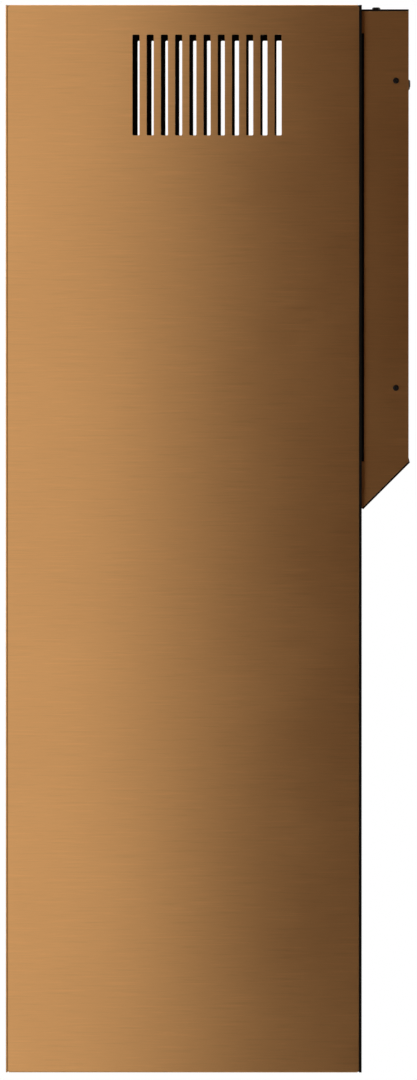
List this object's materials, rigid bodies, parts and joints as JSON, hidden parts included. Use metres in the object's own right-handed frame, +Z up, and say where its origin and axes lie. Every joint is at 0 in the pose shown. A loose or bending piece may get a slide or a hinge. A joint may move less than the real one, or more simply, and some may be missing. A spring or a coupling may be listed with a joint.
{
  "type": "column vent hood",
  "caption": "Tall square column vent hood in brushed copper finish: side vent slots, wall box behind the upper half, blower, damper and filters inside.",
  "frame": {"origin": "middle of the outline across and front to back (wall bolts' heads included), on the bottom rim", "axes": "+Z up along the column, +Y towards the wall, -Y the front panel, X across"},
  "size_m": [0.35, 0.402, 1.06],
  "materials": {
    "brushed_copper": "horizontally brushed steel with a copper finish, satin",
    "black_steel": "black painted steel",
    "copper_underside": "brushed steel with a copper finish",
    "galvanised_steel": "galvanised steel",
    "black_screw": "blackened steel",
    "foam_seal": "closed-cell foam",
    "black_rubber": "rubber",
    "grey_moulding": "moulded",
    "wheel_moulding": "moulded",
    "motor_steel": "plain steel",
    "stator_core": "laminated core and windings",
    "damper_aluminium": "sheet",
    "filter_aluminium": "extruded",
    "filter_mesh": "expanded mesh",
    "filter_steel": "plain steel",
    "magnet": "ferrite",
    "carbon_cassette": "moulded",
    "carbon_granules": "granules",
    "lamp_metal": "satin chrome",
    "lamp_glass": "frosted",
    "lamp_body": "moulded",
    "button_metal": "turned",
    "black_moulding": "moulded",
    "circuit_board": "solder mask",
    "capacitor_case": "drawn"
  },
  "bodies": {
    "hood": {"blower_shelf": "galvanised_steel", "bottom_plate": "copper_underside", "box_side_left": "brushed_copper", "box_side_right": "brushed_copper", "box_side_screws": "black_screw", "box_slope": "black_steel", "box_top": "black_steel", "box_top_screws": "black_screw", "button_board": "circuit_board", "button_carrier": "black_moulding", "cable_grommet": "black_rubber", "capacitor": "capacitor_case", "capacitor_strap": "galvanised_steel", "control_board": "circuit_board", "control_box": "grey_moulding", "control_box_cover": "grey_moulding", "corner_cleats": "black_steel", "damper_pin_and_stops": "motor_steel", "filter_magnets": "magnet", "front_panel": "brushed_copper", "gap_seals": "foam_seal", "hang_rail": "black_steel", "hook_bolts": "black_screw", "inlet_grille_left": "grey_moulding", "inlet_grille_right": "grey_moulding", "lamp_bezels": "lamp_metal", "lamp_lenses": "lamp_glass", "lamp_modules": "lamp_body", "motor_bearings": "motor_steel", "motor_can": "motor_steel", "motor_mounts": "black_rubber", "motor_spider": "galvanised_steel", "outlet_spigot": "galvanised_steel", "rear_panel": "black_steel", "scroll_left": "grey_moulding", "scroll_right": "grey_moulding", "side_panel_left": "brushed_copper", "side_panel_right": "brushed_copper", "stator": "stator_core", "terminal_block": "black_moulding", "top_plate": "galvanised_steel", "wall_bracket": "galvanised_steel"},
    "impeller": {"impeller_wheel": "wheel_moulding", "motor_shaft": "motor_steel", "rotor": "motor_steel"},
    "front_flap": {"damper_flap_front": "damper_aluminium"},
    "rear_flap": {"damper_flap_rear": "damper_aluminium"},
    "grease_filter": {"filter_frame": "filter_aluminium", "filter_mesh_lower": "filter_mesh", "filter_mesh_upper": "filter_mesh", "filter_hinge_pins": "filter_steel"},
    "carbon_filter_left": {"carbon_case_left": "carbon_cassette", "carbon_bed_left": "carbon_granules"},
    "carbon_filter_right": {"carbon_case_right": "carbon_cassette", "carbon_bed_right": "carbon_granules"},
    "button_1": {"button_1": "button_metal"},
    "button_2": {"button_2": "button_metal"},
    "button_3": {"button_3": "button_metal"},
    "button_4": {"button_4": "button_metal"},
    "button_5": {"button_5": "button_metal"}
  },
  "joints": [
    {"name": "impeller_spin", "type": "hinge", "parent": "hood", "child": "impeller", "pos_m": [0, -0.025, 0.43], "axis": [1, 0, 0], "continuous": true},
    {"name": "front_flap_hinge", "type": "hinge", "parent": "hood", "child": "front_flap", "pos_m": [0, 0.027, 0.636], "axis": [-1, 0, 0], "range_deg": [0, 75]},
    {"name": "rear_flap_hinge", "type": "hinge", "parent": "hood", "child": "rear_flap", "pos_m": [0, 0.027, 0.636], "axis": [1, 0, 0], "range_deg": [0, 75]},
    {"name": "grease_filter_hinge", "type": "hinge", "parent": "hood", "child": "grease_filter", "pos_m": [0, 0.117, 0.005], "axis": [1, 0, 0], "range_deg": [0, 80]},
    {"name": "carbon_filter_left_twist", "type": "hinge", "parent": "hood", "child": "carbon_filter_left", "pos_m": [-0.092, -0.025, 0.43], "axis": [-1, 0, 0], "range_deg": [0, 25]},
    {"name": "carbon_filter_right_twist", "type": "hinge", "parent": "hood", "child": "carbon_filter_right", "pos_m": [0.092, -0.025, 0.43], "axis": [1, 0, 0], "range_deg": [0, 25]},
    {"name": "button_1_press", "type": "slide", "parent": "hood", "child": "button_1", "axis": [0, 1, 0], "range_m": [0, 0.0015], "stiffness_N_per_m": 600},
    {"name": "button_2_press", "type": "slide", "parent": "hood", "child": "button_2", "axis": [0, 1, 0], "range_m": [0, 0.0015], "stiffness_N_per_m": 600},
    {"name": "button_3_press", "type": "slide", "parent": "hood", "child": "button_3", "axis": [0, 1, 0], "range_m": [0, 0.0015], "stiffness_N_per_m": 600},
    {"name": "button_4_press", "type": "slide", "parent": "hood", "child": "button_4", "axis": [0, 1, 0], "range_m": [0, 0.0015], "stiffness_N_per_m": 600},
    {"name": "button_5_press", "type": "slide", "parent": "hood", "child": "button_5", "axis": [0, 1, 0], "range_m": [0, 0.0015], "stiffness_N_per_m": 600}
  ]
}
